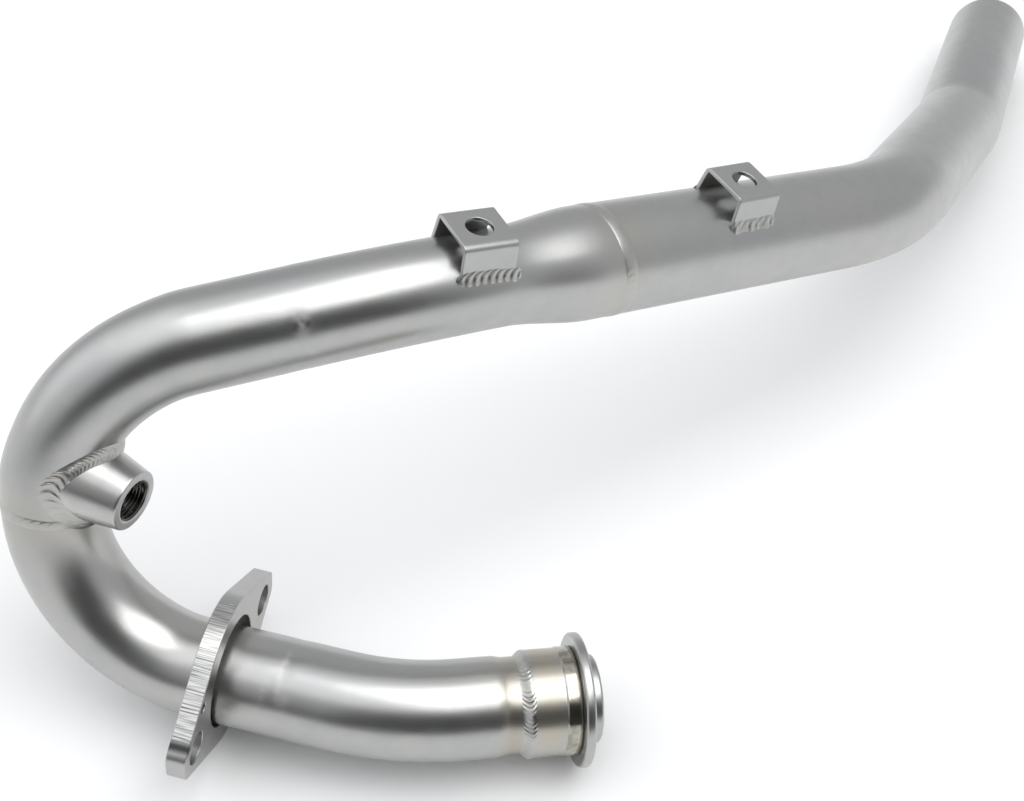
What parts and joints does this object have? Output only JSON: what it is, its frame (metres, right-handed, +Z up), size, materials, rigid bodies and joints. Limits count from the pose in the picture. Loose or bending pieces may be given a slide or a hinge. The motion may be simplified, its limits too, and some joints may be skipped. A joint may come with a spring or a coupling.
{
  "type": "motorcycle exhaust header",
  "caption": "Bent, stepped exhaust header pipe with a turned port collar, a loose bolted flange, a threaded sensor boss and folded shield brackets.",
  "frame": {"origin": "centre of the bounding box, at the height of the surface it lies on", "axes": "+X along the header's length towards the tail's mouth, +Z up from the surface it lies on"},
  "size_m": [0.7743, 0.2344, 0.1945],
  "materials": {
    "tube_metal": "satin, bead-blasted stainless steel",
    "collar_metal": "turned stainless steel, band polished",
    "weld_metal": "rippled weld bead, partly dressed",
    "flange_metal": "satin faces, milled edge",
    "bracket_metal": "satin folded sheet",
    "boss_metal": "turned, satin"
  },
  "bodies": {
    "header": {"port_collar": "collar_metal", "collar_weld": "weld_metal", "head_tube": "tube_metal", "low_seam_weld": "weld_metal", "bend_tube": "tube_metal", "run_seam_weld": "weld_metal", "tail_tube": "tube_metal", "front_bracket": "bracket_metal", "front_bracket_weld_near": "weld_metal", "front_bracket_weld_far": "weld_metal", "rear_bracket": "bracket_metal", "rear_bracket_weld_near": "weld_metal", "rear_bracket_weld_far": "weld_metal", "sensor_boss": "boss_metal", "boss_weld": "weld_metal"},
    "flange": {"loose_flange": "flange_metal"}
  },
  "joints": [
    {"name": "flange_slide", "type": "slide", "parent": "header", "child": "flange", "axis": [0.5047, -0.8632, 0.0131], "range_m": [0, 0.06]}
  ]
}
